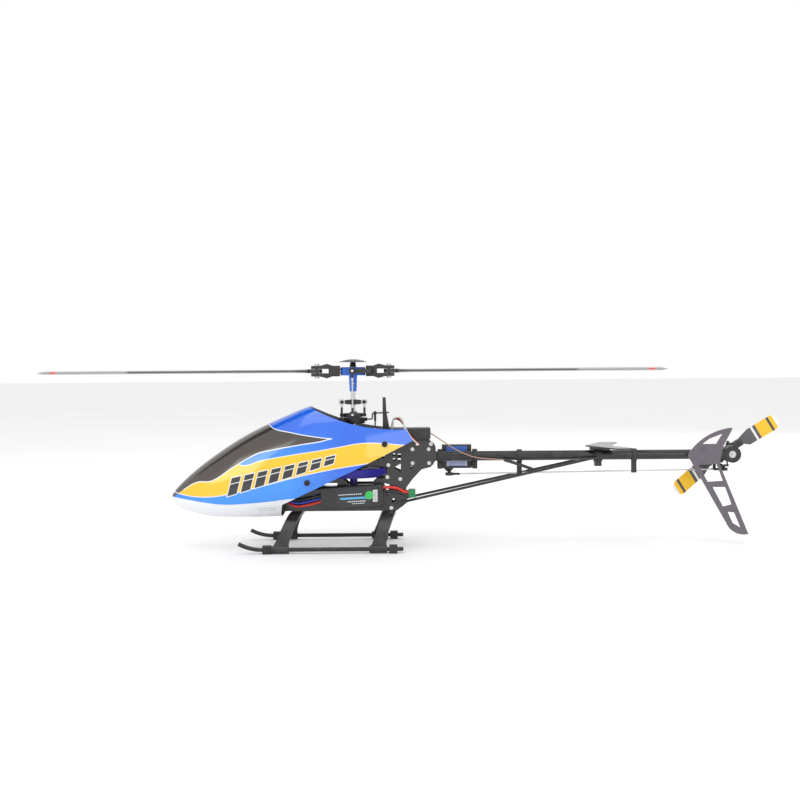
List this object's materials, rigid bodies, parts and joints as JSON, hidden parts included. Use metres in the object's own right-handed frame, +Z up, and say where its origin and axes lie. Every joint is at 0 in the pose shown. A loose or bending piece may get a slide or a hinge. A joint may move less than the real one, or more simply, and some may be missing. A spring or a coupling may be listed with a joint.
{
  "type": "remote control helicopter",
  "caption": "Electric model helicopter with a painted canopy over an open side-plate frame, main rotor with collective pitch, belt driven tail rotor on a slim boom, and skid landing gear.",
  "frame": {"origin": "middle of the helicopter's footprint on the ground, under the skids", "axes": "+X towards the nose along the tail boom, +Y to port, +Z up along the mast"},
  "size_m": [0.8365, 0.109, 0.2095],
  "materials": {
    "black_frame": "satin carbon and glass filled plastic",
    "black_plastic": "moulded black nylon",
    "steel": "bright steel",
    "bearing_steel": "ground steel",
    "hub_blue": "blue anodised",
    "button": "black anodised",
    "grip_black": "glass filled nylon",
    "blade_carbon": "painted composite",
    "gear_violet": "dyed acetal",
    "gear_white": "acetal",
    "motor_can": "turned can",
    "motor_core": "enamelled windings",
    "servo_case": "black case with a label",
    "battery_wrap": "heat shrink wrap",
    "esc_wrap": "heat shrink with a label",
    "wire_set": "silicone insulation in three colours",
    "lead_red": "silicone insulation",
    "connector_green": "moulded plug",
    "receiver_case": "black case",
    "canopy_paint": "painted and lacquered shell",
    "grommet": "soft rubber",
    "boom_black": "black anodised tube",
    "fin_grey": "dark grey sheet",
    "belt": "toothed belt",
    "tail_blade": "grey with bands",
    "rod_steel": "steel wire with black ends"
  },
  "bodies": {
    "airframe": {"frame_plates": "black_frame", "frame_fasteners": "steel", "frame_blocks": "black_plastic", "ball_bearings": "bearing_steel", "motor_stator": "motor_core", "guide_post": "black_plastic", "battery_tray": "black_plastic", "battery": "battery_wrap", "speed_controller": "esc_wrap", "motor_wires": "wire_set", "power_leads": "lead_red", "battery_connector": "connector_green", "receiver": "receiver_case", "signal_leads": "wire_set", "canopy": "canopy_paint", "canopy_grommets": "grommet", "landing_struts": "black_plastic", "skid_rails": "boom_black", "skid_caps": "grommet", "tail_boom": "boom_black", "boom_supports": "boom_black", "boom_brackets": "black_plastic", "horizontal_fin": "fin_grey", "tail_servo": "servo_case", "tail_servo_mounts": "black_plastic", "tail_case": "black_plastic", "vertical_fin": "fin_grey", "tail_belt": "belt", "cyclic_servos": "servo_case"},
    "rotor": {"main_shaft": "steel", "rotor_hub": "hub_blue", "head_button": "button", "feathering_spindle": "steel", "drive_collar": "button", "main_gear": "gear_violet", "tail_drive_gear": "gear_violet"},
    "front_grip": {"grip_front": "grip_black"},
    "rear_grip": {"grip_rear": "grip_black"},
    "front_blade": {"blade_front": "blade_carbon"},
    "rear_blade": {"blade_rear": "blade_carbon"},
    "swash_low": {"swash_lower": "button", "servo_rods": "rod_steel"},
    "swash_high": {"swash_upper": "hub_blue", "swash_links": "rod_steel"},
    "front_drive_arm": {"drive_arm_front": "grip_black"},
    "rear_drive_arm": {"drive_arm_rear": "grip_black"},
    "left_horn": {"servo_horn_left": "black_plastic"},
    "right_horn": {"servo_horn_right": "black_plastic"},
    "rear_horn": {"servo_horn_rear": "black_plastic"},
    "motor": {"motor_bell": "motor_can"},
    "tail_drive": {"tail_drive_pulley": "gear_white"},
    "tail_rotor": {"tail_shaft": "steel"},
    "slider": {"pitch_slider": "black_plastic"},
    "upper_tail_grip": {"tail_grip_upper": "grip_black"},
    "lower_tail_grip": {"tail_grip_lower": "grip_black"},
    "upper_tail_blade": {"tail_blade_upper": "tail_blade"},
    "lower_tail_blade": {"tail_blade_lower": "tail_blade"},
    "tail_horn": {"tail_servo_horn": "black_plastic"},
    "pushrod": {"tail_pushrod": "rod_steel"},
    "tail_crank": {"bellcrank": "black_plastic"}
  },
  "joints": [
    {"name": "rotor_spin", "type": "hinge", "parent": "airframe", "child": "rotor", "pos_m": [0.0682, 0, 0.1963], "axis": [0, 0, 1], "continuous": true},
    {"name": "swash_slide", "type": "slide", "parent": "airframe", "child": "swash_low", "axis": [0, 0, 1], "range_m": [-0.003, 0.003]},
    {"name": "swash_spin", "type": "hinge", "parent": "swash_low", "child": "swash_high", "pos_m": [0.0682, 0, 0.1469], "axis": [0, 0, 1], "continuous": true},
    {"name": "front_pitch", "type": "hinge", "parent": "rotor", "child": "front_grip", "pos_m": [0.0682, 0, 0.1963], "axis": [1, 0, 0], "range_deg": [-9.7, 9.7]},
    {"name": "rear_pitch", "type": "hinge", "parent": "rotor", "child": "rear_grip", "pos_m": [0.0682, 0, 0.1963], "axis": [1, 0, 0], "range_deg": [-9.7, 9.7]},
    {"name": "front_fold", "type": "hinge", "parent": "front_grip", "child": "front_blade", "pos_m": [0.1087, 0, 0.1963], "axis": [0, 0, 1], "range_deg": [-90, 90]},
    {"name": "rear_fold", "type": "hinge", "parent": "rear_grip", "child": "rear_blade", "pos_m": [0.0277, 0, 0.1963], "axis": [0, 0, 1], "range_deg": [-90, 90]},
    {"name": "front_arm_tilt", "type": "hinge", "parent": "rotor", "child": "front_drive_arm", "pos_m": [0.0745, 0, 0.1614], "axis": [0, 1, 0], "range_deg": [-27, 27]},
    {"name": "rear_arm_tilt", "type": "hinge", "parent": "rotor", "child": "rear_drive_arm", "pos_m": [0.0619, 0, 0.1614], "axis": [0, 1, 0], "range_deg": [-27, 27]},
    {"name": "left_horn_turn", "type": "hinge", "parent": "airframe", "child": "left_horn", "pos_m": [0.09095, 0.02208, 0.103], "axis": [0, 1, 0], "range_deg": [-17.3, 17.3]},
    {"name": "right_horn_turn", "type": "hinge", "parent": "airframe", "child": "right_horn", "pos_m": [0.09095, -0.02208, 0.116], "axis": [0, 1, 0], "range_deg": [-17.3, 17.3]},
    {"name": "rear_horn_turn", "type": "hinge", "parent": "airframe", "child": "rear_horn", "pos_m": [0.0337, 0.005, 0.1123], "axis": [0, 1, 0], "range_deg": [-17.3, 17.3]},
    {"name": "motor_spin", "type": "hinge", "parent": "airframe", "child": "motor", "pos_m": [0.10895, 0, 0.104], "axis": [0, 0, 1], "continuous": true},
    {"name": "tail_drive_spin", "type": "hinge", "parent": "airframe", "child": "tail_drive", "pos_m": [0.02895, 0, 0.1], "axis": [0, 0, 1], "continuous": true},
    {"name": "tail_rotor_spin", "type": "hinge", "parent": "airframe", "child": "tail_rotor", "pos_m": [-0.3553, 0, 0.1], "axis": [0, 1, 0], "continuous": true},
    {"name": "tail_horn_turn", "type": "hinge", "parent": "airframe", "child": "tail_horn", "pos_m": [-0.0391, -0.014, 0.0825], "axis": [0, 0, 1], "range_deg": [-18.2, 18.2]},
    {"name": "pushrod_slide", "type": "slide", "parent": "airframe", "child": "pushrod", "axis": [1, 0, 0], "range_m": [-0.0041, 0.0041]},
    {"name": "crank_turn", "type": "hinge", "parent": "airframe", "child": "tail_crank", "pos_m": [-0.3473, -0.014, 0.0859], "axis": [0, 0, 1], "range_deg": [-18.2, 18.2]},
    {"name": "slider_travel", "type": "slide", "parent": "tail_rotor", "child": "slider", "axis": [0, 1, 0], "range_m": [-0.0026, 0.0026]},
    {"name": "upper_tail_pitch", "type": "hinge", "parent": "tail_rotor", "child": "upper_tail_grip", "pos_m": [-0.3553, -0.027, 0.1], "axis": [-0.8572, 0, 0.515], "range_deg": [-24.2, 24.2]},
    {"name": "lower_tail_pitch", "type": "hinge", "parent": "tail_rotor", "child": "lower_tail_grip", "pos_m": [-0.3553, -0.027, 0.1], "axis": [0.8572, 0, -0.515], "range_deg": [-24.2, 24.2]},
    {"name": "upper_tail_fold", "type": "hinge", "parent": "upper_tail_grip", "child": "upper_tail_blade", "pos_m": [-0.37201, -0.027, 0.11004], "axis": [0, 1, 0], "range_deg": [-60, 60]},
    {"name": "lower_tail_fold", "type": "hinge", "parent": "lower_tail_grip", "child": "lower_tail_blade", "pos_m": [-0.33859, -0.027, 0.08996], "axis": [0, 1, 0], "range_deg": [-70.5, 49.5]}
  ],
  "couplings": [
    {"joint": "swash_spin", "follows": "rotor_spin", "ratio": 1},
    {"joint": "motor_spin", "follows": "rotor_spin", "ratio": -11.538},
    {"joint": "tail_drive_spin", "follows": "rotor_spin", "ratio": -4.2333},
    {"joint": "tail_rotor_spin", "follows": "rotor_spin", "ratio": 4.2333},
    {"joint": "front_pitch", "follows": "swash_slide", "rad_per_m": -55.556},
    {"joint": "rear_pitch", "follows": "swash_slide", "rad_per_m": 55.556},
    {"joint": "front_arm_tilt", "follows": "swash_slide", "rad_per_m": -156.25},
    {"joint": "rear_arm_tilt", "follows": "swash_slide", "rad_per_m": 156.25},
    {"joint": "left_horn_turn", "follows": "swash_slide", "rad_per_m": 100},
    {"joint": "right_horn_turn", "follows": "swash_slide", "rad_per_m": 100},
    {"joint": "rear_horn_turn", "follows": "swash_slide", "rad_per_m": -100},
    {"joint": "tail_horn_turn", "follows": "pushrod_slide", "rad_per_m": -76.923},
    {"joint": "crank_turn", "follows": "pushrod_slide", "rad_per_m": -76.923},
    {"joint": "slider_travel", "follows": "pushrod_slide", "ratio": 0.61538},
    {"joint": "upper_tail_pitch", "follows": "pushrod_slide", "rad_per_m": 102.56},
    {"joint": "lower_tail_pitch", "follows": "pushrod_slide", "rad_per_m": 102.56}
  ]
}
